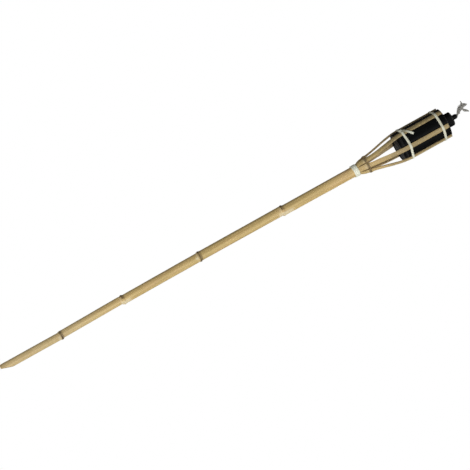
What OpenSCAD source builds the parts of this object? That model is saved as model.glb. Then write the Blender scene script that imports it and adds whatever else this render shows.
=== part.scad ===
// Bamboo garden torch. A culm pole is split at its top into staves, which flare into a basket
// and grip a screw-top fuel canister with a wick. Cane strips bind the staves.
// Millimetres, +Z up. The origin is on the pole's axis at the ground line, under the first node.

/* [Pole] */
// Length of the pointed spike below the ground line
spike_len = 152; // [120:2:200]
// Outer diameter of the spike, which is a true cylinder
spike_d = 18; // [16:0.5:18]
// Length of the slanted cut at the spike's tip
cut_len = 26; // [15:1:40]
// Thickness of the culm wall
culm_wall = 3.2; // [2.6:0.1:3.6]
// Outer diameter of the culm where the split begins
split_d = 24.8; // [24.6:0.1:25]

/* [Basket] */
// Height of the split's root above the ground line
split_z = 780; // [760:5:790]
// Width of a stave above its node
stave_w = 10.4; // [9:0.2:11]
// Width of a stave at its node
stave_node_w = 12.4; // [11:0.2:13]
// Width of a stave at the split's root
stave_root_w = 10.9; // [10:0.1:10.9]
// Radius over the staves, at the canister
basket_r = 38.3; // [38.2:0.1:39]
// Width of the cane strips
cane_w = 5.8; // [4:0.2:7]
// Thickness of the cane strips
cane_t = 1.1; // [0.8:0.1:1.5]

/* [Canister] */
// Outer radius of the canister's wall
can_r = 33.3; // [32:0.1:33.4]
// Thickness of the canister's sheet metal
sheet = 0.8; // [0.6:0.1:1]
// Outer radius of the threaded neck
neck_r = 12.6; // [12:0.1:12.8]

/* [Burner] */
// Outer radius of the screw cap
cap_r = 16.7; // [15.6:0.1:18]
// Outer radius of the wick tube
tube_r = 5.8; // [5.4:0.1:5.8]
// Radius of the wick rope
wick_r = 3.1; // [2.4:0.1:3.2]

/* [Hidden] */
$fn = 96;

// Culm: height of each node, how far off the axis the culm is below it, and its step to one side
// above it. Then the radius of each internode.
node_z = [2.8, 164.8, 369, 588];
node_x = [0, -4, -3.6, -4.3];
node_step = [-1.1, 1.8, -0.4, 1.6];
neck_x = -2.3;
spike_r = spike_d / 2;
split_r = split_d / 2;
internode_r = [spike_r, 9.5, 10.9, 11.4, 12];
taper = 0.12;            // growth of an internode's radius from its foot to its head
diaphragm = 3;           // thickness of the wall across the culm at each node
ridge_h = 1.7;           // how far a node stands out of the culm
tip_flat = 0.5;          // x at which the slanted cut reaches the blunt end

// Staves: the direction of each, from -Y towards +X, at the root, in the cone and at the canister.
root_angle = [-98, -42, 11, 64.5, 143, 200];
cone_angle = [-100, -35, 12.5, 61.5, 152, 201];
head_angle = [-103, -42.5, 16.5, 70.5, 158, 202];
throat_z = 812;          // the split node, where the staves carry a ridge
throat_r = 20.2;
cone_z = 822;
bend_z = 909;            // where the staves stand upright beside the canister
stave_top = 1014.5;
root_top = split_z + 7;  // the staves leave the binding here
stave_arc = [-1, -0.5, 0, 0.5, 1];  // corners of a stave's outline across its width

// Bindings.
neck_binding_z = split_z - 6;
neck_binding_h = 13;
lower_binding_z = 914;
upper_binding_z = 999;
fit_gap = 0.3;           // clearance between pieces of different bodies
tail_angle = -52;        // direction of the knot on the lower binding

// Canister and burner heights.
can_z0 = 892;
seam_h = 3.4;
seam_r = min(can_r - 0.4, bore_between_staves(can_z0) - fit_gap);
rim_z = 1016.5;
rim_h = 3.2;
panel_z = rim_z - 3;
rim_r = bore_between_staves(stave_top) - fit_gap;  // rolled rim round the canister's top
neck_top = 1029;
neck_in = neck_r - sheet;
flange_t = 0.8;
washer_t = 1.6;
washer_z = neck_top + flange_t + fit_gap;
cap_z0 = 1018;
cap_top = 1036;
cap_in = neck_r + 0.9;
tube_top = 1049;
dome_h = 6;
tube_wall = 0.8;
mouth_r = wick_r + 0.35;
wick_z0 = 900;

function lerp(a, b, t) = a + (b - a) * t;
function ease(t) = let (c = max(0, min(1, t))) c * c * (3 - 2 * c);
function polar(r, angle, z) = [r * sin(angle), -r * cos(angle), z];

// Cubic through (z0, r0) and (z1, r1) with slopes m0 and m1.
function cubic(z, z0, r0, m0, z1, r1, m1) =
    let (h = z1 - z0, t = (z - z0) / h, u = 1 - t)
    r0 * (1 + 2 * t) * u * u + h * m0 * t * u * u
        + r1 * t * t * (3 - 2 * t) - h * m1 * t * t * u;

// Radius over a stave's crown at height z.
function crown(z) =
    z <= root_top ? split_r
    : z <= throat_z ? cubic(z, root_top, split_r, 0.75, throat_z, throat_r, 0.16)
    : z <= bend_z ? cubic(z, throat_z, throat_r, 0.16, bend_z, basket_r, 0.02)
    : basket_r;

// How far the staves' common centre is off the axis at height z.
function sway(z) = neck_x * (1 - ease((z - split_z) / 80));

// Direction of a stave at height z.
function stave_angle(index, z) =
    z <= cone_z ? lerp(root_angle[index], cone_angle[index], ease((z - root_top) / (cone_z - root_top)))
    : lerp(cone_angle[index], head_angle[index], ease((z - cone_z) / (bend_z - cone_z)));

function stave_width(z) =
    z <= throat_z ? lerp(stave_root_w, stave_node_w, ease((z - root_top) / 18))
    : lerp(stave_node_w, stave_w, ease((z - throat_z) / 8));

// Radius of the free space between the staves at height z.
function bore_between_staves(z) =
    let (inner_r = split_r - culm_wall, spread = asin(stave_w / split_d))
    norm([crown(z) - split_r + inner_r * cos(spread), inner_r * sin(spread)]);

function node_bump(z, width) = exp(-pow((z - throat_z) / width, 2));

// Closed solid through rings of points. Each ring runs anticlockwise seen from its far end.
module skin(rings) {
    n = len(rings[0]);
    last = len(rings) - 1;
    sides = [
        for (i = [0 : last - 1], j = [0 : n - 1])
            let (k = (j + 1) % n)
            each [
                [i * n + j, (i + 1) * n + j, (i + 1) * n + k],
                [i * n + j, (i + 1) * n + k, i * n + k]
            ]
    ];
    caps = [[for (j = [0 : n - 1]) j], [for (j = [n - 1 : -1 : 0]) last * n + j]];
    polyhedron([for (ring = rings) each ring], concat(sides, caps), convexity = 6);
}

// Cone from one point of the culm's middle line to the next.
module culm_cone(a, b, r1, r2) {
    translate([a[0], 0, a[1]])
        rotate([0, atan2(b[0] - a[0], b[1] - a[1]), 0])
            cylinder(h = norm(b - a), r1 = r1, r2 = r2);
}

// Ridge round a node, between the internodes below and above it. Its ends run into the wall.
module ridge(r_low, r_high) {
    sunk = 2;
    rotate_extrude()
        polygon([
            [0, -3.5], [r_low - sunk, -3.5], [r_low + ridge_h * 0.7, -1.2], [r_low + ridge_h, 0.2],
            [r_high + ridge_h * 0.5, 1.8], [r_high - sunk, 6.5], [0, 6.5]
        ]);
}

// The culm below the split: hollow internodes between diaphragms, cut slanted at the tip.
module pole() {
    last = len(internode_r) - 1;
    feet = [[0, -spike_len], for (i = [0 : last - 1]) [node_x[i] + node_step[i], node_z[i]]];
    heads = [for (i = [0 : last - 1]) [node_x[i], node_z[i]], [neck_x, split_z + 1]];
    half = diaphragm / 2;
    over = 5;
    color("burlywood") difference() {
        union() {
            for (i = [0 : last]) {
                grow = i == 0 ? 0 : i == last ? split_r - internode_r[i] : taper;
                culm_cone(feet[i], heads[i], internode_r[i], internode_r[i] + grow);
            }
            for (i = [0 : last - 1]) {
                // The lowest ridge is true to the spike, so that the spike is plain up to it.
                ridge_x = i == 0 ? 0 : node_x[i] + node_step[i] / 2;
                translate([ridge_x, 0, node_z[i]]) ridge(internode_r[i], internode_r[i + 1]);
            }
        }
        for (i = [0 : last]) {
            bore = internode_r[i] - culm_wall;
            start = feet[i] + (i == 0 ? [0, -over] : [0, half]);
            end = heads[i] + (i == last ? [0, over] : [0, -half]);
            culm_cone(start, end, bore, bore);
        }
        translate([-30, -30, split_z]) cube([60, 60, 20]);
        translate([tip_flat, -30, -spike_len])
            rotate([0, -atan2(cut_len, spike_r - tip_flat), 0])
                translate([-30, 0, -60]) cube([90, 60, 60]);
    }
}

// One stave: a strip of the culm's wall, swept from the split to the canister's rim.
module stave(index) {
    heights = [
        split_z, root_top, 790, 794, 799, 804, 808, 810, 812, 814, 817, 822, 832, 845,
        860, 875, 888, 897, 903, 909, 920, 965, stave_top
    ];
    rings = [
        for (z = heights)
            let (
                angle = stave_angle(index, z),
                spread = asin(stave_width(z) / split_d),
                bump = ridge_h * node_bump(z, 3),
                r = crown(z) + bump,
                inner_r = split_r - culm_wall - bump - 1.4 * node_bump(z, 1.8),
                skin_side = [for (a = stave_arc) split_r * [sin(a * spread), cos(a * spread)]],
                bore_side = [for (a = stave_arc) inner_r * [-sin(a * spread), cos(a * spread)]]
            )
            [for (p = concat(skin_side, bore_side))
                let (out = r + p[1] - split_r)
                [
                    sway(z) + p[0] * cos(angle) + out * sin(angle),
                    p[0] * sin(angle) - out * cos(angle),
                    z
                ]]
    ];
    color("tan") skin(rings);
}

// Three double turns of cane round the split's root.
module neck_binding() {
    turn = neck_binding_h / 3;
    inner = split_r + 0.12;
    outer = inner + 2 * cane_t;
    color("ivory") translate([neck_x, 0, 0]) rotate_extrude()
        polygon([
            [inner, neck_binding_z],
            for (i = [0 : 2]) each [
                [outer - 0.4, neck_binding_z + i * turn],
                [outer, neck_binding_z + (i + 0.2) * turn],
                [outer, neck_binding_z + (i + 0.8) * turn],
                [outer - 0.4, neck_binding_z + (i + 1) * turn]
            ],
            [inner, neck_binding_z + neck_binding_h]
        ]);
}

// Outline of a strip pulled tight over the staves and clear of the canister, grown by a margin.
module tight_loop(margin, z) {
    spread = asin(stave_w / split_d);
    hull() {
        circle(can_r + fit_gap + margin);
        for (angle = head_angle, a = stave_arc) {
            edge = [split_r * sin(a * spread), crown(z) + split_r * (cos(a * spread) - 1)];
            rotate(angle) translate([edge[0], -edge[1]]) circle(margin, $fn = 24);
        }
    }
}

module binding(z) {
    touch = 0.06;
    translate([0, 0, z - cane_w / 2])
        linear_extrude(cane_w)
            difference() {
                tight_loop(touch + cane_t, z);
                tight_loop(touch, z);
            }
}

// Flat strip along a line of points, standing on edge like the binding it leaves.
module strip(points, across, width) {
    skin([
        for (p = points) [
            p + across * cane_t / 2 - [0, 0, width / 2],
            p - across * cane_t / 2 - [0, 0, width / 2],
            p - across * cane_t / 2 + [0, 0, width / 2],
            p + across * cane_t / 2 + [0, 0, width / 2]
        ]
    ]);
}

// The lower binding, with its knot and the strip's free end.
module lower_binding() {
    r = basket_r + cane_t;
    knot = polar(r + 0.2, tail_angle, lower_binding_z);
    tail = [
        polar(r + 0.4, tail_angle, lower_binding_z),
        polar(r + 1.6, tail_angle + 9, lower_binding_z + 5),
        polar(r + 3.2, tail_angle + 22, lower_binding_z + 11.5),
        polar(r + 4.6, tail_angle + 35, lower_binding_z + 19)
    ];
    color("ivory") {
        binding(lower_binding_z);
        translate(knot) rotate([0, 0, tail_angle])
            translate([-3, -1.4, -4.2]) cube([6, 2.6, 8.4]);
        strip(tail, [sin(tail_angle + 16), -cos(tail_angle + 16), 0], cane_w - 1.2);
    }
}

module upper_binding() {
    color("ivory") binding(upper_binding_z);
}

// Canister wall, necked in at the foot so that it seats between the staves.
module can_body() {
    neck_in_r = seam_r - 0.6;
    color("#15151a") rotate_extrude()
        polygon([
            [neck_in_r, can_z0 + seam_h], [can_r, can_z0 + 9], [can_r, rim_z - rim_h],
            [can_r - sheet, rim_z - rim_h], [can_r - sheet, can_z0 + 9.3],
            [neck_in_r - sheet, can_z0 + seam_h]
        ]);
}

// Recessed bottom disc with its rolled seam.
module can_bottom() {
    inner = seam_r - 2.4;
    color("#1b1b20") rotate_extrude()
        polygon([
            [0, can_z0 + seam_h - 1.2 - sheet], [inner, can_z0 + seam_h - 1.2 - sheet],
            [inner, can_z0 + 0.6], [inner + 0.6, can_z0], [seam_r - 0.6, can_z0],
            [seam_r, can_z0 + 0.6], [seam_r, can_z0 + seam_h - 0.5],
            [seam_r - 0.5, can_z0 + seam_h], [inner - 0.4, can_z0 + seam_h],
            [inner - 0.4, can_z0 + seam_h - 1.2], [0, can_z0 + seam_h - 1.2]
        ]);
}

// Lid with its rolled rim, a raised ring and the neck that the cap screws on.
module can_top() {
    rim_in = rim_r - 2.6;
    step_r = 20;
    color("#1b1b20") rotate_extrude()
        polygon([
            [neck_in, panel_z + 1], [neck_in, neck_top], [neck_r, neck_top],
            [neck_r, panel_z + 1 + sheet], [step_r, panel_z + 1 + sheet],
            [step_r + 1.2, panel_z + sheet], [rim_in, panel_z + sheet],
            [rim_in, rim_z - 0.6], [rim_in + 0.6, rim_z], [rim_r - 0.6, rim_z],
            [rim_r, rim_z - 0.6], [rim_r, rim_z - rim_h + 0.5],
            [rim_r - 0.5, rim_z - rim_h], [rim_in - 0.8, rim_z - rim_h],
            [rim_in - 0.8, panel_z], [step_r + 0.9, panel_z], [step_r - 0.3, panel_z + 1]
        ]);
}

// Tube that stands up through the cap. Its domed mouth grips the wick.
module wick_tube() {
    dome_z = tube_top - dome_h;
    dome_w = tube_r - mouth_r;
    foot = neck_top - 7;
    color("#202024") rotate_extrude()
        polygon([
            [tube_r - tube_wall, foot], [tube_r, foot],
            for (a = [0 : 15 : 90])
                [mouth_r + dome_w * cos(a), dome_z + dome_h * sin(a)],
            for (a = [90 : -15 : 0])
                [mouth_r + (dome_w - tube_wall) * cos(a), dome_z + (dome_h - tube_wall) * sin(a)]
        ]);
}

// Disc that is pressed onto the tube and rests on the canister's neck.
module holder_flange() {
    color("#202024") translate([0, 0, neck_top]) difference() {
        cylinder(h = flange_t, r = neck_r - 0.2);
        translate([0, 0, -1]) cylinder(h = flange_t + 2, r = tube_r);
    }
}

// Sealing washer that stays in the cap.
module cap_washer() {
    color("#6b5f4d") translate([0, 0, washer_z]) difference() {
        cylinder(h = washer_t, r = neck_r + 0.3);
        translate([0, 0, -1]) cylinder(h = washer_t + 2, r = tube_r + 0.5);
    }
}

// Screw cap: a skirt over the neck, a domed top and grip flutes round the side.
module screw_cap() {
    shoulder = 2.4;
    crown_w = 3.4;
    ceiling = washer_z + washer_t + fit_gap;
    flutes = 24;
    color("#1c1c21") difference() {
        rotate_extrude()
            polygon([
                [cap_in, cap_z0], [cap_r - 0.5, cap_z0], [cap_r, cap_z0 + 0.5],
                for (a = [0 : 15 : 90])
                    [cap_r - crown_w * (1 - cos(a)), cap_top - shoulder * (1 - sin(a))],
                [tube_r + 0.6, cap_top], [tube_r + 0.6, ceiling], [cap_in, ceiling]
            ]);
        for (i = [0 : flutes - 1])
            rotate(i * 360 / flutes) translate([cap_r + 0.5, 0, cap_z0 + 2])
                cylinder(h = 11.6, r = 0.9, $fn = 24);
    }
}

// The wick: a rope down into the fuel, and a frayed tuft above the tube's mouth.
module wick() {
    // Each lock runs from one [x, y, height over the tube, radius] to the next.
    neck = [-0.9, 0, 3.2, 2.2];
    trunk = [-6.8, -0.5, 7.8, 4.4];
    body = [-12.4, 0.5, 16, 5.9];
    head = [-14, 0.5, 22.5, 5];
    bend = [-2.6, -1.5, 20, 3.2];
    locks = [
        [[0, 0, -2, wick_r], neck], [neck, trunk], [trunk, body], [body, head],
        [head, [-11.8, 1, 33.4, 0.9]],
        [[-15, 0.5, 21.5, 3.2], [-24.6, 1, 23.5, 1]],
        [[-10.5, -0.5, 17.5, 3.8], bend],
        [bend, [4.4, -2, 29, 1.1]]
    ];
    color("#8d8a84") union() {
        translate([0, 0, wick_z0]) cylinder(h = tube_top - wick_z0, r = wick_r, $fn = 32);
        for (lock = locks)
            hull()
                for (p = lock)
                    translate([p[0], p[1], tube_top + p[2]]) sphere(p[3], $fn = 20);
    }
}

pole();
stave(0);  // stave_1
stave(1);  // stave_2
stave(2);  // stave_3
stave(3);  // stave_4
stave(4);  // stave_5
stave(5);  // stave_6
neck_binding();
lower_binding();
upper_binding();
can_body();
can_bottom();
can_top();
wick_tube();
holder_flange();
cap_washer();
screw_cap();
wick();
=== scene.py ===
"""A bamboo garden torch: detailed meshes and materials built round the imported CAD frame.

Metres throughout, in the frame's own axes: +Z runs up the pole and -Y faces the viewer.
Directions round the pole are angles in degrees from -Y towards +X.
"""
import math
import random

import bmesh
import bpy
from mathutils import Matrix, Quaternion, Vector, noise
from mathutils.bvhtree import BVHTree


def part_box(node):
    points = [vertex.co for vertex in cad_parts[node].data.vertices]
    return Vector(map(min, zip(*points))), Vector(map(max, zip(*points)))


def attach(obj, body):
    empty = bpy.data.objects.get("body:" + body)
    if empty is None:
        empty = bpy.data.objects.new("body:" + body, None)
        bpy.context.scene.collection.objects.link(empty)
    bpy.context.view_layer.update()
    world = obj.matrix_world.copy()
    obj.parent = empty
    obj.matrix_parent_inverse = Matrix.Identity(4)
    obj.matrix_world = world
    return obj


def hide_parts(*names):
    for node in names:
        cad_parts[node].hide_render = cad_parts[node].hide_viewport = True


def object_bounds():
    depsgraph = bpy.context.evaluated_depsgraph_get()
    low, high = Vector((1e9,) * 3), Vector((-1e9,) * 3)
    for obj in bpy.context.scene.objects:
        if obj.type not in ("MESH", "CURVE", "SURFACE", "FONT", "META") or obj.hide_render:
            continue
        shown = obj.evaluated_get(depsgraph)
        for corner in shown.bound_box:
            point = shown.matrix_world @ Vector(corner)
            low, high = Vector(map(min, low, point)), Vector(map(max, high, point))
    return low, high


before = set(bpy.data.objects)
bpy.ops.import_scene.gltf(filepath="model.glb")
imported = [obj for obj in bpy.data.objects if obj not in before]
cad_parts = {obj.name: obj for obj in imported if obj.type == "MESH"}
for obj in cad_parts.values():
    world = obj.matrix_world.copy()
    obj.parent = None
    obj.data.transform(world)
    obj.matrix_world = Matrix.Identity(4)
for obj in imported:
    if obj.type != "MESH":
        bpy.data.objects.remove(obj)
cad_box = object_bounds()

MM = 0.001
TAU = 2 * math.pi
UP = Vector((0, 0, 1))


# ---------------------------------------------------------------- reading the CAD frame

def cad_tree(node):
    """Search tree over a CAD node's mesh."""
    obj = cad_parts[node]
    corners = [obj.matrix_world @ v.co for v in obj.data.vertices]
    return BVHTree.FromPolygons(corners, [tuple(p.vertices) for p in obj.data.polygons])


def hit(tree, origin, direction):
    """Where a ray first meets a CAD node, or None."""
    return tree.ray_cast(Vector(origin), Vector(direction))[0]


def outward(angle):
    """Unit vector away from the Z axis in a direction given in degrees."""
    a = math.radians(angle)
    return Vector((math.sin(a), -math.cos(a), 0))


def level(z):
    return Vector((0, 0, z))


def low_z(node):
    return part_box(node)[0].z


def high_z(node):
    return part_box(node)[1].z


# ---------------------------------------------------------------- small maths

def smoothstep(low, high, value):
    t = max(0.0, min(1.0, (value - low) / (high - low)))
    return t * t * (3 - 2 * t)


def bell(distance, width):
    return math.exp(-((distance / width) ** 2))


def steps(low, high, count):
    """count + 1 evenly spaced values from low to high."""
    return [low + (high - low) * i / count for i in range(count + 1)]


def wander(x, y=0.0, z=0.0):
    """Smooth noise between about -1 and 1."""
    return noise.noise(Vector((x, y, z)))


def rounded(profile, radius, count=4):
    """A closed outline of (r, z) points with each corner eased by a short curve."""
    points = [Vector(p) for p in profile]
    result = []
    for before, corner, after in zip(points[-1:] + points[:-1], points, points[1:] + points[:1]):
        reach = min(radius, (before - corner).length * 0.45, (after - corner).length * 0.45)
        start = corner + (before - corner).normalized() * reach
        end = corner + (after - corner).normalized() * reach
        for t in steps(0, 1, count):
            result.append(start * (1 - t) ** 2 + corner * 2 * t * (1 - t) + end * t * t)
    return result


def smooth_path(points, count):
    """A Catmull-Rom curve through points, as count + 1 points."""
    points = [Vector(p) for p in points]
    ends = [points[0] * 2 - points[1]] + points + [points[-1] * 2 - points[-2]]
    spans = len(points) - 1
    curve = []
    for u in steps(0, spans, count):
        i = min(int(u), spans - 1)
        t = u - i
        a, b, c, d = ends[i:i + 4]
        curve.append(0.5 * (2 * b + (c - a) * t + (2 * a - 5 * b + 4 * c - d) * t ** 2
                            + (3 * b - a - 3 * c + d) * t ** 3))
    return curve


# ---------------------------------------------------------------- mesh building

class Shape:
    """Vertices and faces of one piece, with the values that its material reads.

    flow is a point's place across, through and along the fibres, in metres.
    """

    # wear marks real wear and dirt, and painted shade on the staves and on the cane's free end.
    marks = ("ring", "pale", "raw", "wear")

    def __init__(self):
        self.points, self.faces, self.flow = [], [], []
        self.values = {mark: [] for mark in self.marks}

    def point(self, place, flow=None, **values):
        self.points.append(Vector(place))
        self.flow.append(Vector(flow if flow is not None else place))
        for mark in self.marks:
            self.values[mark].append(values.get(mark, 0.0))
        return len(self.points) - 1

    def tube(self, rings, loop=False, caps=True):
        """Joins rings of point numbers. loop joins the last ring to the first."""
        pairs = list(zip(rings, rings[1:])) + ([(rings[-1], rings[0])] if loop else [])
        for low, high in pairs:
            count = len(low)
            for j in range(count):
                k = (j + 1) % count
                self.faces.append((low[j], low[k], high[k], high[j]))
        if caps and not loop:
            self.faces.append(tuple(reversed(rings[0])))
            self.faces.append(tuple(rings[-1]))

    def piece(self, name, crease=38):
        """The finished object, shaded smooth except along edges sharper than crease degrees."""
        mesh = bpy.data.meshes.new(name)
        mesh.from_pydata(self.points, [], self.faces)
        flow = mesh.attributes.new("flow", "FLOAT_VECTOR", "POINT")
        flow.data.foreach_set("vector", [c for f in self.flow for c in f])
        for mark, numbers in self.values.items():
            mesh.attributes.new(mark, "FLOAT", "POINT").data.foreach_set("value", numbers)
        obj = bpy.data.objects.new(name, mesh)
        bpy.context.scene.collection.objects.link(obj)
        finish_mesh(mesh, crease)
        return obj


def finish_mesh(mesh, crease):
    """Makes normals face out, and marks the sharp edges."""
    form = bmesh.new()
    form.from_mesh(mesh)
    bmesh.ops.recalc_face_normals(form, faces=form.faces)
    for face in form.faces:
        face.smooth = True
    for edge in form.edges:
        if len(edge.link_faces) == 2:
            edge.smooth = edge.calc_face_angle(0) < math.radians(crease)
    form.to_mesh(mesh)
    form.free()
    mesh.update()


def lathe(name, outline, segments=128, swell=None, wear=None, crease=38):
    """Turns a closed outline of (r, z) points round the Z axis.

    swell(angle, r, z) gives a change of radius, and wear(r, z) how worn a point is.
    """
    shape = Shape()
    rings = []
    for i in range(segments):
        angle = 360 * i / segments
        ring = []
        for r, z in outline:
            grown = r + (swell(angle, r, z) if swell else 0)
            ring.append(shape.point(outward(angle) * grown + level(z), wear=wear(r, z) if wear else 0))
        rings.append(ring)
    shape.tube(rings, loop=True)
    return shape.piece(name, crease)


def strip(shape, path, normals, width, thickness, shift, closed=False, taper=0.0, near_shadow=0.0, soil=0.0):
    """Sweeps a flat cane strip along a path. normals point away from what it lies on.

    taper narrows its far end, near_shadow darkens its near half with painted shadow, and soil greys all of
    it.
    """
    outline = [(-0.5, -0.5), (0.5, -0.5), (0.5, 0.1), (0.36, 0.42), (0, 0.5), (-0.36, 0.42), (-0.5, 0.1)]
    rings, travelled = [], 0.0
    last = len(path) - 1
    for i, (place, normal) in enumerate(zip(path, normals)):
        after = path[(i + 1) % len(path)] if closed else path[min(i + 1, last)]
        before = path[i - 1] if closed else path[max(i - 1, 0)]
        side = (after - before).cross(normal).normalized()
        travelled += (place - before).length if i else 0
        narrow = 1 - taper * smoothstep(last * 0.8, last, i)
        ring = []
        for across, lift in outline:
            ragged = 1 + 0.05 * wander(travelled * 160, across * 9, shift)
            offset = side * across * width * narrow * ragged + normal.normalized() * lift * thickness
            flow = (across * width + shift, lift * thickness, travelled + shift)
            # Soil greys the whole strip, and near_shadow adds painted shadow on the near half.
            soil_and_shadow = soil + near_shadow * (1 - smoothstep(0.35, 0.7, i / last + 0.1 * wander(across * 5, i * 0.4)))
            ring.append(shape.point(place + offset, flow, raw=abs(across) * 2 * (1 - lift), wear=soil_and_shadow))
        rings.append(ring)
    shape.tube(rings, loop=closed)


# ---------------------------------------------------------------- materials

class Finish:
    """Builds one procedural material, node by node."""

    def __init__(self, name, roughness, **constants):
        self.material = bpy.data.materials.new(name)
        self.material.use_nodes = True
        self.nodes = self.material.node_tree.nodes
        self.links = self.material.node_tree.links
        self.shader = self.nodes["Principled BSDF"]
        self.shader.inputs["Roughness"].default_value = roughness
        for socket, value in constants.items():
            self.shader.inputs[socket.replace("_", " ")].default_value = value

    def node(self, kind, inputs=(), **settings):
        made = self.nodes.new(kind)
        for key, value in settings.items():
            setattr(made, key, value)
        for key, value in dict(inputs).items():
            self.feed(made.inputs[key], value)
        return made

    def feed(self, socket, value):
        if isinstance(value, bpy.types.NodeSocket):
            self.links.new(value, socket)
        else:
            socket.default_value = value

    def attribute(self, name):
        return self.node("ShaderNodeAttribute", attribute_name=name)

    def value(self, name):
        return self.attribute(name).outputs["Fac"]

    def flow(self, stretch=(1, 1, 1)):
        vector = self.attribute("flow").outputs["Vector"]
        return self.node("ShaderNodeMapping", {"Vector": vector, "Scale": stretch}).outputs["Vector"]

    def noise(self, vector, scale, detail=4.0, rough=0.55):
        inputs = {"Vector": vector, "Scale": scale, "Detail": detail, "Roughness": rough}
        return self.node("ShaderNodeTexNoise", inputs).outputs["Fac"]

    def ramp(self, fac, stops):
        """Colour ramp through (place, colour or grey) stops."""
        made = self.node("ShaderNodeValToRGB", {"Fac": fac})
        elements = made.color_ramp.elements
        while len(elements) < len(stops):
            elements.new(0.5)
        for element, (place, colour) in zip(elements, stops):
            element.position = place
            element.color = (*colour, 1) if isinstance(colour, tuple) else (colour, colour, colour, 1)
        return made.outputs["Color"]

    def mix(self, fac, a, b, mode="MIX"):
        made = self.node("ShaderNodeMix", data_type="RGBA", blend_type=mode)
        self.feed(made.inputs[0], fac)
        for socket, colour in ((made.inputs[6], a), (made.inputs[7], b)):
            self.feed(socket, (*colour, 1) if isinstance(colour, tuple) else colour)
        return made.outputs[2]

    def maths(self, operation, a, b=0.0, clamp=False):
        made = self.node("ShaderNodeMath", operation=operation, use_clamp=clamp)
        self.feed(made.inputs[0], a)
        self.feed(made.inputs[1], b)
        return made.outputs[0]

    def bump(self, height, distance, strength=1.0, below=None):
        inputs = {"Height": height, "Distance": distance, "Strength": strength}
        if below:
            inputs["Normal"] = below
        return self.node("ShaderNodeBump", inputs).outputs["Normal"]

    def done(self, colour, roughness=None, normal=None):
        self.feed(self.shader.inputs["Base Color"], colour)
        if roughness is not None:
            self.feed(self.shader.inputs["Roughness"], roughness)
        if normal is not None:
            self.feed(self.shader.inputs["Normal"], normal)
        return self.material


def bamboo_finish():
    """Straw-coloured culm skin, long fibres, node rings of scar and painted shade, pale bloom with painted
    highlight, raw split faces.
    """
    m = Finish("bamboo", 0.6, Specular_IOR_Level=0.3)
    broad = m.noise(m.flow((210, 210, 5)), 1.0, 3)
    fine = m.noise(m.flow((1500, 1500, 22)), 1.0, 3, 0.65)
    blotch = m.noise(m.flow((26, 26, 9)), 1.0, 4, 0.6)
    skin = m.ramp(broad, [(0.28, (0.41, 0.275, 0.108)), (0.5, (0.52, 0.375, 0.155)),
                          (0.74, (0.61, 0.455, 0.20))])
    olive = m.mix(m.ramp(blotch, [(0.42, 0.0), (0.72, 0.5)]), skin, (0.34, 0.27, 0.10))
    rosy = m.mix(m.ramp(m.noise(m.flow((40, 40, 16)), 1.3, 3), [(0.52, 0.0), (0.75, 0.35)]),
                 olive, (0.56, 0.33, 0.19))
    lined = m.mix(m.ramp(fine, [(0.34, 0.45), (0.48, 0.0)]), rosy, (0.28, 0.185, 0.08))
    cells = m.node("ShaderNodeTexVoronoi", {"Vector": m.flow((260, 260, 60)), "Scale": 1.0})
    freckles = m.ramp(cells.outputs["Distance"], [(0.05, 0.3), (0.13, 0.0)])
    freckled = m.mix(freckles, lined, (0.16, 0.10, 0.045))
    patchy = m.ramp(m.noise(m.flow((90, 90, 120)), 1.0, 4), [(0.34, 0.6), (0.6, 1.0)])
    # Pale patches: waxy bloom with a painted highlight.
    bloom_and_highlight = m.mix(m.maths("MULTIPLY", m.value("pale"), patchy), freckled, (0.70, 0.62, 0.43))
    # Dark rings: the sheath scar with painted shade under the ridge.
    ringed = m.mix(m.maths("MULTIPLY", m.value("ring"), patchy, clamp=True), bloom_and_highlight, (0.07, 0.043, 0.02))
    pith = m.ramp(m.noise(m.flow((1100, 1100, 30)), 1.0, 5, 0.7),
                  [(0.3, (0.27, 0.17, 0.07)), (0.55, (0.55, 0.40, 0.20)), (0.75, (0.70, 0.56, 0.33))])
    split = m.mix(m.value("raw"), ringed, pith)
    # Darker on the staves beside the can: weathering, and painted shade that is heaviest on the left-hand
    # staves.
    colour = m.mix(m.maths("MULTIPLY", m.value("wear"), patchy, clamp=True), split, (0.15, 0.13, 0.075))
    gloss = m.mix(m.value("raw"), m.ramp(blotch, [(0.3, 0.5), (0.7, 0.66)]), (0.82, 0.82, 0.82))
    relief = m.maths("ADD", m.maths("MULTIPLY", fine, 0.4), broad)
    fibres = m.bump(relief, 0.00012, 0.6)
    splinters = m.maths("MULTIPLY", m.noise(m.flow((900, 900, 26)), 1.0, 5), m.value("raw"))
    return m.done(colour, gloss, m.bump(splinters, 0.0006, 0.7, fibres))


def cane_finish():
    """Pale split cane with a fine grain."""
    m = Finish("cane", 0.6, Sheen_Weight=0.08)
    grain = m.noise(m.flow((1900, 1900, 26)), 1.0, 4, 0.65)
    blotch = m.noise(m.flow((60, 60, 45)), 1.0, 3)
    base = m.ramp(grain, [(0.3, (0.52, 0.53, 0.41)), (0.5, (0.74, 0.76, 0.64)), (0.7, (0.82, 0.83, 0.74))])
    darkening = m.mix(m.ramp(blotch, [(0.45, 0.0), (0.75, 0.45)]), base, (0.62, 0.60, 0.42))
    # Darker where the cane is soiled, and painted shadow on the near half of the lower lashing's free end.
    soiled_and_shaded = m.mix(m.value("wear"), darkening, (0.33, 0.30, 0.20))
    edged = m.mix(m.maths("MULTIPLY", m.value("raw"), 0.3), soiled_and_shaded, (0.36, 0.32, 0.2))
    return m.done(edged, m.ramp(blotch, [(0.3, 0.5), (0.7, 0.72)]), m.bump(grain, 0.0001, 0.6))


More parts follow.
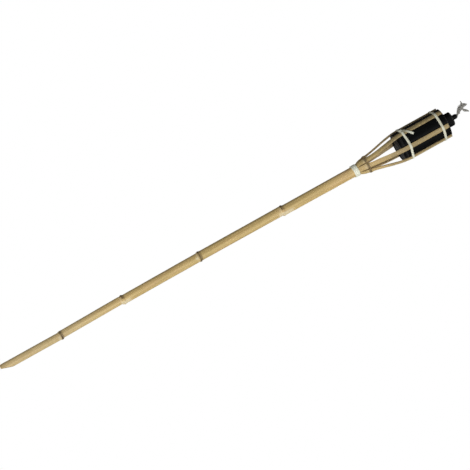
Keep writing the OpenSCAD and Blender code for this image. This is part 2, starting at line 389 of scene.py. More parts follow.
def paint_finish(name, tint, roughness):
    """Black paint on sheet metal, with a faint orange peel, scuffs, and bare metal where it wears."""
    m = Finish(name, roughness, Specular_IOR_Level=0.08)
    place = m.flow()
    peel = m.noise(place, 1400.0, 2)
    smears = m.noise(m.flow((70, 70, 22)), 1.0, 5, 0.62)
    scuffs = m.ramp(m.noise(m.flow((240, 240, 60)), 1.0, 6, 0.75), [(0.62, 0.0), (0.72, 0.3)])
    dusty = m.mix(m.ramp(smears, [(0.45, 0.0), (0.8, 0.3)]), tint, tuple(0.004 + 1.4 * c for c in tint))
    scuffed = m.mix(scuffs, dusty, (0.02, 0.02, 0.021))
    flakes = m.ramp(m.noise(place, 900.0, 5, 0.7), [(0.5, 0.0), (0.62, 1.0)])
    colour = m.mix(m.maths("MULTIPLY", m.value("wear"), flakes), scuffed, (0.12, 0.115, 0.11))
    gloss = m.ramp(smears, [(0.25, roughness - 0.08), (0.75, roughness + 0.16)])
    return m.done(colour, gloss, m.bump(peel, 0.00008, 0.35))


def yarn_finish():
    """Grey wick yarn: fine fibres, paler where it frays and sooty in places."""
    m = Finish("wick_yarn", 0.92, Sheen_Weight=0.25)
    fibre = m.noise(m.flow((3200, 3200, 140)), 1.0, 4, 0.7)
    soot = m.noise(m.flow((160, 160, 120)), 1.0, 4, 0.6)
    base = m.ramp(fibre, [(0.28, (0.13, 0.122, 0.106)), (0.5, (0.33, 0.32, 0.29)),
                          (0.75, (0.52, 0.51, 0.47))])
    dark = m.mix(m.ramp(soot, [(0.5, 0.0), (0.75, 0.6)]), base, (0.055, 0.05, 0.045))
    return m.done(dark, 0.92, m.bump(fibre, 0.0003, 0.9))


def board_finish():
    """Brown pressed fibre of the sealing washer."""
    m = Finish("washer_board", 0.85)
    fibre = m.noise(m.flow(), 1600.0, 5, 0.7)
    colour = m.ramp(fibre, [(0.3, (0.15, 0.10, 0.055)), (0.55, (0.30, 0.215, 0.12)),
                            (0.75, (0.42, 0.33, 0.2))])
    return m.done(colour, 0.85, m.bump(fibre, 0.0002, 0.8))


def place_piece(piece, material, body, slot, *nodes):
    """Gives a finished piece its material and its body, and hides the CAD nodes that it stands for."""
    piece.data.materials.append(material)
    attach(piece, body)
    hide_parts(*nodes)


# ---------------------------------------------------------------- the culm

SPIKE_CUT = 26 * MM         # height of the slanted cut
SPIKE_FLAT = 0.5 * MM       # x at which the cut meets the blunt end
CULM_WALL = 3.2 * MM
CULM_SIDES = 72
NODE_REACH = 9 * MM         # how far from a node its swelling can be seen


# For each node: the arc of its dark ring, which is the sheath scar with painted shade under the ridge,
# the arc of its pale patch, which is waxy bloom with a painted highlight on the lit side, and the
# patch's reach below and above the node in millimetres. An arc is a middle direction and a half
# width, in degrees.
NODE_MARKS = [
    ((-90, 200), (40, 40), (-9, -3)),
    ((-125, 118), (62, 44), (-6, 18)),
    ((0, 200), (4, 14), (-10, -4)),
    ((-130, 126), (64, 44), (-11, 24)),
]


class Culm:
    """The CAD pole's middle line and radius at any height, with its nodes found from its bulges."""

    def __init__(self):
        self.tree = cad_tree("pole")
        self.bottom, self.top = low_z("pole"), high_z("pole")
        self.whole = self.bottom + SPIKE_CUT + 3 * MM
        self.nodes = self.find_nodes()

    def section(self, z):
        z = min(max(z, self.whole), self.top - 0.2 * MM)
        left = hit(self.tree, (-0.1, 0, z), (1, 0, 0)).x
        right = hit(self.tree, (0.1, 0, z), (-1, 0, 0)).x
        return (left + right) / 2, (right - left) / 2

    def find_nodes(self):
        heights = steps(self.whole, self.top - 20 * MM, 1800)
        radii = [self.section(z)[1] for z in heights]
        reach = 12
        return [heights[i] for i in range(reach, len(radii) - reach)
                if radii[i] > max(radii[i - reach:i]) and radii[i] >= max(radii[i + 1:i + reach])
                and radii[i] > radii[i - reach] + 0.4 * MM]

    def plain(self, z):
        """Middle x and radius, with the CAD ridges taken out."""
        middle, radius = self.section(z)
        for node in self.nodes:
            if abs(z - node) < NODE_REACH:
                below = self.section(node - NODE_REACH)[1]
                above = self.section(node + NODE_REACH)[1]
                t = (z - node + NODE_REACH) / (2 * NODE_REACH)
                radius = below + (above - below) * smoothstep(0.35, 0.65, t)
        return middle, radius


def arc(angle, middle, half):
    """1 within an arc round the pole, fading to 0 past its ends."""
    away = abs((angle - middle + 180) % 360 - 180)
    return 1 - smoothstep(half - 12, half + 8, away)


def culm_relief(culm, z, angle):
    """How far the culm's skin stands out at a height and direction, with its ring and pale marks."""
    out, ring = 0.0, 0.0
    pale = 0.22 * (1 - smoothstep(0, 200 * MM, z))
    for i, (node, (dark_arc, pale_arc, reach)) in enumerate(zip(culm.nodes, NODE_MARKS)):
        tilt = 0.5 * MM * math.sin(math.radians(angle + 80 * i))
        d = (z - node - tilt + 0.3 * MM * wander(angle / 23, i * 7.0)) / MM
        if abs(d) < 34:
            out += 0.9 * bell(d + 1.3, 0.9) + 1.5 * bell(d - 1.6, 2.4) - 0.3 * bell(d - 0.1, 0.5)
            uneven = 0.85 + 0.35 * wander(angle / 31, i * 3.0 + 9)
            # The dark ring is the sheath scar with painted shade under the ridge. On some nodes it is only on
            # the side away from the key light.
            dark = max(1.4 * bell(d - 0.3, 2.2), 0.8 * bell(d - 2.6, 3.4)) * uneven
            ring = max(ring, dark * arc(angle, *dark_arc))
            # The pale patch on the lit side and the pale band under the node are waxy bloom with a painted
            # highlight.
            ragged = 3 * wander(angle / 17, i * 5.0)
            low, high = reach[0] + ragged, reach[1] + ragged
            pale_patch = smoothstep(low - 3, low + 2, d) * (1 - smoothstep(high - 5, high + 5, d))
            pale = max(pale, 0.7 * pale_patch * arc(angle, *pale_arc), 0.25 * bell(d + 5, 3))
        side = 65 + 180 * (i % 2)           # a shallow groove runs up from each node, on alternate sides
        turn = (angle - side + 180) % 360 - 180
        above = (z - node) / MM
        if 0 < above < 150:
            out -= 0.55 * bell(turn, 24) * smoothstep(0, 9, above) * (1 - smoothstep(30, 150, above))
    out += 0.10 * wander(math.cos(math.radians(angle)) * 1.4, math.sin(math.radians(angle)) * 1.4, z * 26)
    return out * MM, min(ring, 1.0), min(pale, 1.0)


def culm_heights(culm):
    """Row heights, close together at the nodes."""
    rows = set(round(z, 6) for z in steps(culm.bottom, culm.top, 240))
    for node in culm.nodes:
        rows |= set(round(z, 6) for z in steps(node - 11 * MM, node + 11 * MM, 52))
    return sorted(rows)


def culm_row(shape, culm, z, inner):
    x, r = culm.plain(z)
    row = []
    for j in range(CULM_SIDES):
        angle = 360 * j / CULM_SIDES
        out, ring, pale = (0.0, 0.0, 0.0) if inner else culm_relief(culm, z, angle)
        oval = 1 + 0.012 * math.cos(math.radians(2 * angle + 40))
        radius = r - CULM_WALL if inner else r * (oval if z > culm.nodes[0] else 1) + out
        spot = outward(angle) * radius
        marks = {"ring": ring, "pale": pale, "raw": float(inner)}
        row.append(shape.point(spot + Vector((x, 0, z)), spot + level(z), **marks))
    return row


def cut_spike(piece, culm):
    """Cuts the spike on the slant and closes the wall, as raw wood."""
    form = bmesh.new()
    form.from_mesh(piece.data)
    run = culm.section(culm.whole)[1] - SPIKE_FLAT
    normal = Vector((SPIKE_CUT, 0, -run)).normalized()
    corner = Vector((SPIKE_FLAT, 0, culm.bottom))
    everything = form.verts[:] + form.edges[:] + form.faces[:]
    bmesh.ops.bisect_plane(form, geom=everything, dist=1e-6, plane_co=corner, plane_no=normal,
                           clear_outer=True)
    rim = [e for e in form.edges if len(e.link_faces) == 1]
    bmesh.ops.triangle_fill(form, use_beauty=True, edges=rim)
    form.to_mesh(piece.data)
    form.free()
    raw = piece.data.attributes["raw"].data
    for i, vertex in enumerate(piece.data.vertices):
        if abs((vertex.co - corner).dot(normal)) < 0.05 * MM:
            raw[i].value = 0.8
    finish_mesh(piece.data, 32)


def make_culm(material):
    culm = Culm()
    shape = Shape()
    spike_roof = culm.nodes[0] - 4 * MM     # the first node closes the spike's hollow
    cup_floor = culm.top - 45 * MM          # the last one closes the cup at the split
    rows = [culm_row(shape, culm, z, True) for z in steps(spike_roof, culm.bottom, 12)]
    rows += [culm_row(shape, culm, z, False) for z in culm_heights(culm)]
    rows += [culm_row(shape, culm, z, True) for z in steps(culm.top, cup_floor, 6)]
    shape.tube(rows)
    piece = shape.piece("culm", 32)
    cut_spike(piece, culm)
    place_piece(piece, material, "torch", "bamboo", "pole")


# ---------------------------------------------------------------- the staves

STAVE_ROWS = 150
SKIN_POINTS = 9             # points across a stave's skin
FACE_POINTS = 4             # points down each split face
SPLIT_RADIUS = 12.4 * MM    # radius of the culm that the staves were split from
# How dark each stave is at its top beside the can: weathering, and painted shade that is heaviest on staves 1
# and 6 at the left and back, away from the key light.
STAVE_AGE_AND_SHADE = {1: 0.95, 2: 0.75, 3: 0.65, 4: 0.6, 5: 0.6, 6: 0.9}  # how weathered each is at its top

NECK_LOW, NECK_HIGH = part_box("neck_binding")
NECK_X = (NECK_LOW.x + NECK_HIGH.x) / 2
SPLIT_Z = NECK_LOW.z + 6 * MM


def stave_centre(z):
    """The point that the staves stand round at height z: over the neck, then on the axis."""
    return Vector((NECK_X * (1 - smoothstep(SPLIT_Z, SPLIT_Z + 80 * MM, z)), 0, 0))


def plane_section(node, z):
    """Points where a CAD node's edges cross the height z."""
    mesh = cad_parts[node].data
    found = []
    for edge in mesh.edges:
        a, b = (mesh.vertices[i].co for i in edge.vertices)
        if (a.z - z) * (b.z - z) < 0:
            found.append(a.lerp(b, (z - a.z) / (b.z - a.z)))
    return found


def stave_section(node, z):
    """Direction of a CAD stave at height z, the radius over its crown, and half its width."""
    centre = stave_centre(z)
    points = [p - centre for p in plane_section(node, z)]
    middle = sum(points, Vector()) / len(points)
    angle = math.degrees(math.atan2(middle.x, -middle.y))
    crown = max(p.dot(outward(angle)) for p in points)
    half = max(abs(p.dot(outward(angle + 90))) for p in points)
    return angle, crown, half


def make_stave(number, material):
    """A split strip of the culm: skin outside, torn fibres down its edges and inside."""
    node = "stave_%d" % number
    bottom, top = low_z(node), high_z(node)
    keys = [(z, *stave_section(node, z)) for z in steps(bottom + 0.3 * MM, top - 0.3 * MM, 60)]
    crest = max(keys, key=lambda k: plain_bulge(keys, k[0]))[0]
    shape = Shape()
    rows = []
    seed = number * 11.3
    for z in steps(bottom, top, STAVE_ROWS):
        angle, crown, half = lookup(keys, z)
        # The darkening beside the can is weathering, and painted shade set per stave.
        beside_can = smoothstep(28, 62, (z - crest) / MM + 8 * wander(seed, z * 40))
        darkening = 0.2 + (STAVE_AGE_AND_SHADE[number] - 0.2) * beside_can
        rows.append(stave_row(shape, z, angle, crown, half, crest, top, seed, darkening))
    shape.tube(rows)
    place_piece(shape.piece(node + "_strip", 40), material, "torch", "bamboo", node)


def plain_bulge(keys, z):
    """How far the crown at z stands over the line between its neighbours."""
    reach = 12 * MM
    if not keys[0][0] + reach < z < keys[-1][0] - reach:
        return -1.0
    return lookup(keys, z)[1] - (lookup(keys, z - reach)[1] + lookup(keys, z + reach)[1]) / 2


def lookup(keys, z):
    """Values at height z between rows of (z, values...)."""
    for low, high in zip(keys, keys[1:]):
        if z <= high[0]:
            t = max(0.0, (z - low[0]) / (high[0] - low[0]))
            return [a + (b - a) * t for a, b in zip(low[1:], high[1:])]
    return list(keys[-1][1:])


def stave_row(shape, z, angle, crown, half, crest, top, seed, darkening):
    """One ring of a stave: across the skin, down one split face, back inside, and up the other."""
    d = (z - crest) / MM
    swell = (0.5 * bell(d + 2.0, 0.8) + 0.35 * bell(d - 1.0, 2.2)) * MM
    ragged = 0.28 * MM
    left = -half + ragged * wander(z * 60, seed) + 0.12 * MM * wander(z * 420, seed)
    right = half + ragged * wander(z * 60, seed + 5) + 0.12 * MM * wander(z * 420, seed + 5)
    thick = CULM_WALL + (0.9 * bell(d - 0.5, 2.5) + 0.25 * wander(z * 45, seed + 2)) * MM
    tip = smoothstep(top - 2.2 * MM, top, z)
    ring = min(1.0, 1.6 * bell(d + 1.5, 2.3) + 0.8 * tip)
    pale = 0.25 * bell(d + 6.5, 3.0)
    out, side, centre = outward(angle), outward(angle + 90), stave_centre(z)
    end = 0.8 * MM * wander(seed, angle / 40)
    row = []

    def add(across, depth, raw):
        slope = tip * end * across / half
        sag = SPLIT_RADIUS - math.sqrt(max(SPLIT_RADIUS ** 2 - across ** 2, 0))
        stand = crown + swell * (1 - raw) - sag - depth
        place = centre + out * stand + side * across + level(z + slope)
        flow = (across + seed, depth, z)
        skin = 1 - raw
        worn_and_shaded = min(1.0, darkening * (1 - 0.3 * raw))
        row.append(shape.point(place, flow, raw=raw, ring=ring * skin, pale=pale * skin, wear=worn_and_shaded))

    for t in steps(0, 1, SKIN_POINTS - 1):
        edge = 0.25 * MM * (bell(t, 0.07) + bell(1 - t, 0.07))
        add(left + (right - left) * t, edge, 0.0)
    for t in steps(0, 1, FACE_POINTS)[1:]:
        rough = 0.16 * MM * wander(z * 300, t * 9, seed)
        add(right * (1 - 0.14 * t) + rough, thick * t, min(1.0, 0.5 + t))
    for t in steps(1, 0, 6)[1:]:
        rough = 0.2 * MM * wander(z * 190, t * 11, seed + 3)
        add(left * 0.86 + (right - left) * 0.86 * t, thick + rough, 1.0)
    for t in steps(1, 0, FACE_POINTS)[1:-1]:
        rough = 0.16 * MM * wander(z * 300, t * 9, seed + 8)
        add(left * (1 - 0.14 * t) + rough, thick * t, min(1.0, 0.5 + t))
    return row


# ---------------------------------------------------------------- the cane lashings

CANE = 1.05 * MM            # thickness of a cane strip
KNOT_ANGLE = -56


def loop_path(node, height, start, turn, seed):
    """Middle line of a strip pulled round the staves, turning from start degrees, and its normals."""
    tree = cad_tree(node)
    path, normals = [], []
    for angle in steps(start, start + turn, int(turn / 2)):
        out = outward(angle)
        inside = hit(tree, level(height), out)
        over = smoothstep(start + turn - 34, start + turn - 14, angle) * CANE * 1.05
        arch = 1.0 * MM * math.cos(math.radians(angle * 2))
        drift = 0.3 * MM * math.sin(math.radians(angle * 3 + seed * 50)) + 0.3 * MM * wander(angle / 14, seed)
        spot = Vector((inside.x, inside.y, height + arch + drift))
        path.append(spot + out * (CANE / 2 + over))
        normals.append(out)
    return path, normals


def make_loop(node, name, material, start, turn, seed, soil, extras=None):
    low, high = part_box(node)
    height = low.z + 2.9 * MM if extras else (low.z + high.z) / 2
    shape = Shape()
    path, normals = loop_path(node, height, start, turn, seed)
    strip(shape, path, normals, 5.6 * MM, CANE, seed, soil=soil)
    if extras:
        extras(shape, height)
    place_piece(shape.piece(name, 45), material, "torch", "cane", node)


def knot_and_tail(shape, height):
    """Two turns round the lashing, and the strip's free end, which stands off across a stave."""
    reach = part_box("upper_binding")[1].x
    centre = outward(KNOT_ANGLE) * (reach - 0.2 * MM) + level(height + 0.3 * MM)
    out, side = outward(KNOT_ANGLE), outward(KNOT_ANGLE + 90)
    for lean, shift in ((24, -0.8), (-18, 1.0)):
        tipped = Quaternion(out, math.radians(lean))
        path, normals = [], []
        for a in steps(0, TAU, 28)[:-1]:
            spoke = tipped @ (out * math.cos(a) * 1.9 * MM + UP * math.sin(a) * 4.0 * MM)
            path.append(centre + side * shift * MM + spoke)
            normals.append(spoke.normalized())
        strip(shape, path, normals, 4.4 * MM, CANE * 0.9, 3.1 + shift, closed=True)
    low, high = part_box("lower_binding")
    rise = high.z - height - 2.6 * MM
    stand = -low.y - reach
    route = [(KNOT_ANGLE - 3, 0.4 * MM, -0.5 * MM), (KNOT_ANGLE + 7, stand * 0.25, rise * 0.26),
             (KNOT_ANGLE + 20, stand * 0.55, rise * 0.58), (KNOT_ANGLE + 33, stand * 0.74, rise * 0.88),
             (KNOT_ANGLE + 39, stand * 0.8, rise * 1.04)]
    points = [outward(a) * (reach + s) + level(height + h) for a, s, h in route]
    path = smooth_path(points, 30)
    normals = [Vector((p.x, p.y, 0)).normalized() - UP * 0.15 for p in path]
    # The free end's near half gets painted shadow where it stands off the stave.
    strip(shape, path, normals, 5.4 * MM, CANE, 7.7, taper=0.1, near_shadow=0.75, soil=0.15)


def make_neck_binding(material):
    """Three turns of cane wound up the culm and three back down, the end tucked under on the slant."""
    low, high = NECK_LOW, NECK_HIGH
    centre = Vector((NECK_X, 0, 0))
    inner = hit(cad_tree("neck_binding"), centre + level(low.z + 2 * MM), (1, 0, 0)).x - centre.x
    turns = 3
    pitch = (high.z - low.z - 4.6 * MM) / (turns - 0.75)
    shape = Shape()
    for layer in (0, 1):
        path, normals = [], []
        for angle in steps(-150, -150 + 360 * turns, 60 * turns):
            wound = (angle + 150) / 360
            z = low.z + 2.3 * MM + pitch * max(0.0, min(wound - 0.25, turns - 0.75))
            ease = 0.2 * MM * wander(angle / 40, 3.0)
            path.append(centre + outward(angle) * (inner + CANE * (0.6 + layer) + ease) + level(z))
            normals.append(outward(angle))
        strip(shape, path, normals, 4.7 * MM, CANE, 1.9 + layer)
    tuck = [(24, 1.5, 0.93), (34, 2.3, 0.80), (46, 2.5, 0.62), (58, 2.3, 0.42), (68, 1.5, 0.28)]
    height = high.z - low.z
    points = [outward(a) * (inner + lift * CANE) + level(low.z + height * t) for a, lift, t in tuck]
    path = smooth_path([centre + p for p in points], 24)
    normals = [Vector((p.x - centre.x, p.y, 0)).normalized() for p in path]
    strip(shape, path, normals, 3.6 * MM, CANE * 0.8, 5.2)
    place_piece(shape.piece("neck_lashing", 45), material, "torch", "cane", "neck_binding")


# ---------------------------------------------------------------- the canister

SHEET = 0.8 * MM


def make_can_wall(material):
    """Drawn wall with a necked foot, two shallow beads and a welded seam at the back."""
    low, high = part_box("can_body")
    r = high.x
    foot_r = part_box("can_bottom")[1].x - 0.6 * MM
    foot, top = low.z, high.z + 1.2 * MM
    shoulder = foot + 5.6 * MM
    outer = [(foot_r, foot - 1.2 * MM), (foot_r + 0.1 * MM, foot + 1.6 * MM),
             (r - 0.15 * MM, shoulder - 1.2 * MM), (r, shoulder + 0.8 * MM)]
    for bead in (foot + 11 * MM, top - 12 * MM):
        outer += [(r, bead - 1.6 * MM), (r - 0.35 * MM, bead - 0.5 * MM), (r - 0.35 * MM, bead + 0.5 * MM),
                  (r, bead + 1.6 * MM)]
    outer.append((r, top))
    inner = [(radius - SHEET, z) for radius, z in reversed(outer)]
    fine = []
    for a, b in zip(outer, outer[1:]):
        count = max(1, int((b[1] - a[1]) / (6 * MM)))
        fine += [(a[0] + (b[0] - a[0]) * t, a[1] + (b[1] - a[1]) * t) for t in steps(0, 1, count)[:-1]]
    fine.append(outer[-1])

    def swell(angle, radius, z):
        seam = 0.22 * MM * bell((angle - 172), 2.2)
        return seam + 0.07 * MM * wander(angle / 55, z * 22)

    def worn_and_shaded(radius, z):
        return 0.6 * bell(z - shoulder, 1.5 * MM)

    piece = lathe("can_wall", fine + inner, 180, swell, worn_and_shaded, 50)
    place_piece(piece, material, "canister", "black_can", "can_body")


def make_can_base(material):
    """Recessed bottom with two pressed steps inside its rolled seam."""
    low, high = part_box("can_bottom")
    r, z0, z1 = high.x, low.z, high.z
    panel = z1 - 1.2 * MM
    ring = r - 3.0 * MM
    outline = [(0.0005 * MM, panel - SHEET), (9 * MM, panel - SHEET), (10.2 * MM, panel - SHEET - 0.7 * MM),
               (18 * MM, panel - SHEET - 0.7 * MM), (19.2 * MM, panel - SHEET), (ring, panel - SHEET),
               (ring + 0.3 * MM, z0), (r, z0), (r, z1 + 0.1 * MM), (ring - 0.2 * MM, z1 + 0.1 * MM),
               (ring - 0.6 * MM, panel), (0.0005 * MM, panel)]
    piece = lathe("can_base", rounded(outline, 0.75 * MM), 144, None,
                  lambda radius, z: 0.9 * smoothstep(z0 + 0.9 * MM, z0, z), 50)
    place_piece(piece, material, "canister", "black_can", "can_bottom")


def thread_swell(root, depth, pitch, low, high):
    """Change of radius that raises a helical thread on a turned wall, fading in and out at its ends."""
    def swell(angle, radius, z):
        if abs(radius - root) > 0.05 * MM or not low <= z <= high:
            return 0.0
        phase = ((z - low) / pitch - angle / 360) % 1
        fade = smoothstep(low, low + 1.2 * MM, z) * (1 - smoothstep(high - 1.2 * MM, high, z))
        return depth * fade * smoothstep(0.62, 0.9, 1 - abs(phase - 0.5) * 2 + 0.45)
    return swell


def make_can_lid(material):
    """Lid with its rolled rim, a pressed step, and the threaded neck."""
    low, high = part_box("can_top")
    r, z0, mouth = high.x, low.z, high.z
    rim_top = z0 + 3.2 * MM
    panel = z0 + 0.2 * MM
    neck = hit(cad_tree("can_top"), (0.1, 0, mouth - 1 * MM), (-1, 0, 0)).x
    rim_in = r - 2.6 * MM
    wall = [(neck, z) for z in steps(panel + 1.9 * MM, mouth - 0.7 * MM, 40)]
    # The first point only gives the curves their direction, so its own corner is left out.
    lip = rounded([(neck - SHEET, panel + 1 * MM), (neck - SHEET, mouth - 0.1 * MM), (neck, mouth)],
                  0.3 * MM, 3)[4:]
    lower = rounded([(neck, panel + 1.9 * MM), (20 * MM, panel + 1.8 * MM), (21.2 * MM, panel + SHEET),
                     (rim_in, panel + SHEET), (rim_in, rim_top), (r, rim_top), (r, z0),
                     (rim_in - 0.8 * MM, z0), (rim_in - 0.8 * MM, panel), (20.9 * MM, panel),
                     (19.7 * MM, panel + 1 * MM), (neck - SHEET, panel + 1 * MM)], 0.9 * MM, 5)
    lower = lower[3:]                       # the wall takes the place of the first half curve
    swell = thread_swell(neck, 0.42 * MM, 3 * MM, panel + 3.5 * MM, mouth - 1.4 * MM)
    outline = wall[::-1] + lower + lip
    piece = lathe("can_lid", outline, 180, swell,
                  lambda radius, z: 0.8 * bell(z - rim_top, 0.8 * MM) * (radius > rim_in), 45)
    place_piece(piece, material, "canister", "black_can", "can_top")


# ---------------------------------------------------------------- the burner

def make_wick_tube(material):
    """Straight tube with a rounded mouth that grips the wick."""
    low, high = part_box("wick_tube")
    r, z0, z1 = high.x, low.z, high.z
    mouth = hit(cad_tree("wick_tube"), level(z1 - 0.3 * MM), (1, 0, 0)).x - 0.15 * MM
    wall = 0.8 * MM
    rise = 6 * MM
    dome = z1 - rise
    outer = [(r - 0.15 * MM, z0), (r, z0 + 0.3 * MM)]
    outer += [(mouth + (r - mouth) * math.cos(a), dome + rise * math.sin(a)) for a in steps(0, TAU / 4, 10)]
    inner = [(mouth + (r - wall - mouth) * math.cos(a), dome + (rise - wall) * math.sin(a))
             for a in steps(TAU / 4, 0, 8)]
    inner.append((r - wall, z0))
    piece = lathe("burner_tube", outer + inner, 96, None, lambda radius, z: bell(z - z1, 1.2 * MM), 50)
    place_piece(piece, material, "burner", "black_burner", "wick_tube")


def make_flange(material):
    low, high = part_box("holder_flange")
    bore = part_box("wick_tube")[1].x
    outline = [(bore, low.z), (high.x, low.z), (high.x, high.z), (bore + 2.6 * MM, high.z),
               (bore + 1.5 * MM, high.z + 0.15 * MM), (bore, high.z + 0.15 * MM)]
    piece = lathe("burner_flange", rounded(outline, 0.25 * MM), 96, None, None, 50)
    place_piece(piece, material, "burner", "black_burner", "holder_flange")


def make_washer(material):
    low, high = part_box("cap_washer")
    bore = hit(cad_tree("cap_washer"), level((low.z + high.z) / 2), (1, 0, 0)).x
    outline = [(bore, low.z), (high.x, low.z), (high.x, high.z), (bore, high.z)]
    piece = lathe("washer_ring", rounded(outline, 0.35 * MM), 96,
                  lambda angle, radius, z: 0.06 * MM * wander(angle / 9, z * 400), None, 50)
    place_piece(piece, material, "washer", "washer_board", "cap_washer")


def make_cap(material):
    """Screw cap with fine grip ribs, a rolled lower edge, a domed shoulder and its own thread."""
    low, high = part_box("screw_cap")
    r, z0, z1 = high.x, low.z, high.z
    tree = cad_tree("screw_cap")
    bore = hit(tree, level(z1 - 0.5 * MM), (1, 0, 0)).x
    skirt = hit(tree, level(z0 + 2 * MM), (1, 0, 0)).x
    ceiling = hit(tree, (skirt - 1.2 * MM, 0, z0 + 2 * MM), UP).z
    shoulder = z1 - 2.4 * MM
    ribbed = [(r, z) for z in steps(z0 + 2.2 * MM, shoulder - 0.6 * MM, 10)]
    crown = [(r - 3.4 * MM * (1 - math.cos(a)), shoulder + (z1 - shoulder) * math.sin(a))
             for a in steps(0, TAU / 4, 10)]
    hem = [(skirt + 0.3 * MM, z0 + 0.2 * MM), (skirt + 0.7 * MM, z0), (r - 0.3 * MM, z0),
           (r + 0.1 * MM, z0 + 0.4 * MM), (r + 0.1 * MM, z0 + 1.2 * MM), (r - 0.2 * MM, z0 + 1.7 * MM)]
    inside = [(skirt, z) for z in steps(ceiling - 0.6 * MM, z0 + 0.6 * MM, 36)]
    roof = [(bore, z1 - 0.1 * MM), (bore, ceiling), (skirt - 0.5 * MM, ceiling)]
    outline = hem + ribbed + crown + roof + inside
    ribs = 48
    screw = thread_swell(skirt, -0.3 * MM, 3 * MM, z0 + 1.2 * MM, ceiling - 1 * MM)

    def swell(angle, radius, z):
        if radius > r - 0.05 * MM and z0 + 1.9 * MM < z < shoulder:
            return -0.38 * MM * (0.5 - 0.5 * math.cos(math.radians(angle * ribs))) ** 0.6
        return screw(angle, radius, z)

    def worn_and_shaded(radius, z):
        edge = bell(z - z0, 0.8 * MM) + 0.6 * bell(z - shoulder, 1.4 * MM)
        return edge if radius > r - 1 * MM else 0.0

    piece = lathe("cap_shell", outline, ribs * 8, swell, worn_and_shaded, 50)
    place_piece(piece, material, "cap", "black_burner", "screw_cap")


# ---------------------------------------------------------------- the wick

def fibre(shape, path, radius, seed):
    """One thin yarn along a path, three-sided and tapering to its end."""
    rings, travelled = [], 0.0
    for i, place in enumerate(path):
        after = path[min(i + 1, len(path) - 1)]
        before = path[max(i - 1, 0)]
        along = (after - before).normalized()
        side = along.orthogonal().normalized()
        other = along.cross(side)
        thin = radius * (1 - 0.6 * i / len(path))
        travelled += (place - before).length
        ring = []
        for a in (0, TAU / 3, 2 * TAU / 3):
            offset = side * math.cos(a) * thin + other * math.sin(a) * thin
            ring.append(shape.point(place + offset, offset + Vector((seed, 0, travelled))))
        rings.append(ring)
    shape.tube(rings)


def lump(shape, path, widths, seed):
    """A lumpy clot of matted yarn along a path, with a width in metres at each point."""
    rings = []
    for i, place in enumerate(path):
        after = path[min(i + 1, len(path) - 1)]
        before = path[max(i - 1, 0)]
        along = (after - before).normalized()
        side = along.cross(Vector((0.1, 1, 0.05))).normalized()
        other = along.cross(side)
        ring = []
        for a in steps(0, TAU, 14)[:-1]:
            knot = 1 + 0.22 * wander(math.cos(a) * 1.6, math.sin(a) * 1.6, seed + i * 0.35)
            offset = (side * math.cos(a) + other * math.sin(a) * 0.8) * widths[i] * knot
            ring.append(shape.point(place + offset, place + offset))
        rings.append(ring)
    shape.tube(rings)


def lock(shape, points, radii, strands, dice, seed):
    """A lock of frayed yarn: a matted core and loose fibres that follow it."""
    count = 14
    middle = smooth_path(points, count)
    spread = [v.x for v in smooth_path([(r, 0, 0) for r in radii], count)]
    lump(shape, middle, [max(0.25 * MM, s * 0.74) for s in spread], seed)
    for _ in range(strands):
        turn = dice.uniform(0, TAU)
        reach = dice.uniform(0.55, 1.08)
        curl = dice.uniform(-1.2, 1.2)
        start = dice.choice((0, 0, 2, 4))
        end = dice.choice((count, count, count - 1, count - 3))
        path = []
        for i in range(start, end + 1):
            a = turn + curl * i / count
            offset = Vector((math.cos(a), math.sin(a) * 0.85, 0.35 * math.sin(a * 2))) * spread[i] * reach
            fuzz = Vector((wander(seed, turn, i * 0.5), wander(turn, seed, i * 0.5), 0)) * 0.35 * MM
            path.append(middle[i] + offset + fuzz)
        fibre(shape, path, 0.24 * MM, turn)


def make_wick(material):
    """A three-strand rope through the tube, and the frayed, bent tuft above it."""
    low = low_z("wick")
    mouth = high_z("wick_tube")
    rope_r = 3.05 * MM
    shape = Shape()
    rings = []
    for z in steps(low, mouth + 1.5 * MM, 190):
        ring = []
        for a in steps(0, TAU, 36)[:-1]:
            twist = a - z / (9 * MM) * TAU / 3
            lobe = 0.84 + 0.16 * abs(math.cos(1.5 * twist)) ** 0.6
            slim = 1 - 0.22 * smoothstep(mouth - 3 * MM, mouth + 1.5 * MM, z)
            spot = Vector((math.cos(a), math.sin(a), 0)) * rope_r * lobe * slim
            flow = (rope_r * math.cos(twist), rope_r * math.sin(twist), z * 0.5)
            ring.append(shape.point(spot + level(z), flow))
        rings.append(ring)
    shape.tube(rings)
    dice = random.Random(7)

    def above(x, y, z):
        return Vector((x * MM, y * MM, mouth + z * MM))

    # For each lock of the tuft: its path, its radius in millimetres at each point, and its loose strands.
    tufts = [
        ([above(0, 0, -2), above(-0.8, 0, 1.8), above(-3.8, -0.3, 4.6), above(-6.8, -0.5, 7.8)],
         (2.5, 2.3, 3.4, 4.3), 50),
        ([above(-2.4, -0.4, 4.5), above(-1.6, -0.8, 7.5), above(-1.0, -1, 9.6)], (1.5, 1.5, 0.5), 14),
        ([above(-5.4, -0.5, 6.6), above(-9.8, -0.2, 11.4), above(-12.4, 0.4, 16), above(-14, 0.5, 22)],
         (4.0, 5.3, 5.8, 5.0), 110),
        ([above(-13.4, 0.4, 19), above(-13.4, 0.7, 24.5), above(-12.8, 0.9, 29), above(-11.8, 1, 33.8)],
         (5.0, 4.5, 3.0, 0.8), 70),
        ([above(-14, 0.5, 20), above(-17.2, 0.7, 22.4), above(-20.8, 0.9, 23.4), above(-25.2, 1, 23.6)],
         (4.2, 3.3, 2.2, 0.8), 50),
        ([above(-11.5, -0.4, 17), above(-8, -0.9, 18.6), above(-4.8, -1.3, 19.4), above(-2.2, -1.6, 21.4)],
         (4.2, 3.5, 3.2, 3.3), 60),
        ([above(-3.2, -1.6, 19.4), above(-1, -1.8, 23), above(1.4, -2, 26.2), above(4.6, -2, 29.6)],
         (3.1, 3.0, 2.4, 1.0), 54),
    ]
    for i, (points, radii, strands) in enumerate(tufts):
        lock(shape, points, [r * MM for r in radii], strands, dice, 2.0 + 3.7 * i)
    place_piece(shape.piece("wick_rope", 60), material, "wick", "wick_yarn", "wick")


# ---------------------------------------------------------------- floor, light and camera

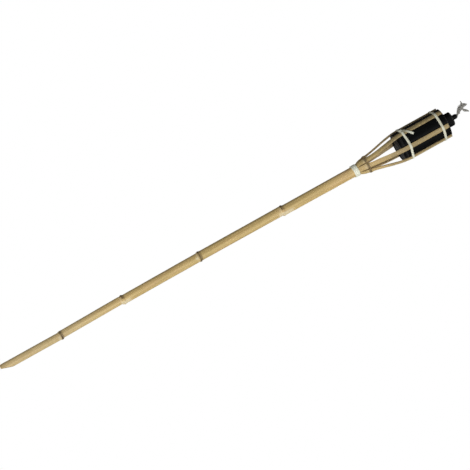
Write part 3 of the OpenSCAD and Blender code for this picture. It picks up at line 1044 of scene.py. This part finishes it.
def make_floor():
    """Pale floor under the spike. It is open from below, where the camera looks up past it."""
    size = 6.0
    shape = Shape()
    z = cad_box[0].z - 0.4 * MM
    corners = [shape.point((x * size, y * size, z)) for x, y in ((-1, -1), (1, -1), (1, 1), (-1, 1))]
    shape.faces.append(tuple(corners))
    floor = shape.piece("floor")
    m = Finish("floor_white", 0.7)
    m.shader.inputs["Base Color"].default_value = (0.86, 0.86, 0.85, 1)
    m.shader.inputs["Emission Color"].default_value = (1, 1, 1, 1)
    m.shader.inputs["Emission Strength"].default_value = 0.34
    seen = m.node("ShaderNodeNewGeometry").outputs["Backfacing"]
    open_side = m.node("ShaderNodeBsdfTransparent").outputs[0]
    both = m.node("ShaderNodeMixShader")
    m.feed(both.inputs[0], seen)
    m.links.new(m.shader.outputs[0], both.inputs[1])
    m.links.new(open_side, both.inputs[2])
    m.links.new(both.outputs[0], m.nodes["Material Output"].inputs["Surface"])
    floor.data.materials.append(m.material)


def make_light(name, place, target, size, power):
    data = bpy.data.lights.new(name, "AREA")
    data.shape = "DISK"
    data.size = size
    data.energy = power
    lamp = bpy.data.objects.new(name, data)
    lamp.location = place
    lamp.rotation_mode = "QUATERNION"
    lamp.rotation_quaternion = (Vector(target) - Vector(place)).to_track_quat("-Z", "Y")
    bpy.context.scene.collection.objects.link(lamp)


def make_world(ambient):
    """White to the eye, and softer as a light, so that shapes keep their shading."""
    world = bpy.data.worlds.new("studio")
    world.use_nodes = True
    nodes, links = world.node_tree.nodes, world.node_tree.links
    background = nodes["Background"]
    background.inputs["Color"].default_value = (1, 1, 1, 1)
    path = nodes.new("ShaderNodeLightPath")
    blend = nodes.new("ShaderNodeMapRange")
    blend.inputs["To Min"].default_value = ambient
    blend.inputs["To Max"].default_value = 1.0
    links.new(path.outputs["Is Camera Ray"], blend.inputs["Value"])
    links.new(blend.outputs["Result"], background.inputs["Strength"])
    bpy.context.scene.world = world


def make_camera():
    """Long lens, a little below square to the torch, rolled so that the torch leans to the right."""
    elevation = math.radians(-11)
    lean = math.radians(60.95)
    target = Vector((-7.4 * MM, 0, 466.3 * MM))
    lens, sensor = 1200.0, 36.0
    view_width = 1064.08 * MM
    distance = view_width * lens / sensor
    back = Vector((0, -math.cos(elevation), math.sin(elevation)))
    data = bpy.data.cameras.new("camera")
    data.lens, data.sensor_width = lens, sensor
    data.clip_start, data.clip_end = 0.1, 60
    camera = bpy.data.objects.new("camera", data)
    camera.location = target + back * distance
    camera.rotation_mode = "QUATERNION"
    camera.rotation_quaternion = (-back).to_track_quat("-Z", "Y") @ Quaternion((0, 0, 1), lean)
    bpy.context.scene.collection.objects.link(camera)
    bpy.context.scene.camera = camera


def make_studio():
    make_camera()
    make_floor()
    make_world(0.07)
    middle = (0, 0, 0.45)
    make_light("key", (1.75, -3.0, 1.0), middle, 1.6, 93)
    make_light("rim", (1.4, 2.6, 1.8), middle, 1.4, 24)
    make_light("top", (0.2, 0.3, 3.6), (0, 0, 0), 1.2, 30)
    bpy.context.scene.view_settings.view_transform = "Standard"


def make_torch():
    bamboo, cane = bamboo_finish(), cane_finish()
    can = paint_finish("black_can", (0.0022, 0.0025, 0.0026), 0.44)
    burner = paint_finish("black_burner", (0.0026, 0.0027, 0.003), 0.5)
    make_culm(bamboo)
    for number in range(1, 7):
        make_stave(number, bamboo)
    make_neck_binding(cane)
    make_loop("lower_binding", "lower_lashing", cane, KNOT_ANGLE - 8, 392, 2.4, 0.3, knot_and_tail)
    make_loop("upper_binding", "upper_lashing", cane, 150, 388, 4.6, 0.4)
    make_can_wall(can)
    make_can_base(can)
    make_can_lid(can)
    make_wick_tube(burner)
    make_flange(burner)
    make_washer(board_finish())
    make_cap(burner)
    make_wick(yarn_finish())


make_studio()
make_torch()
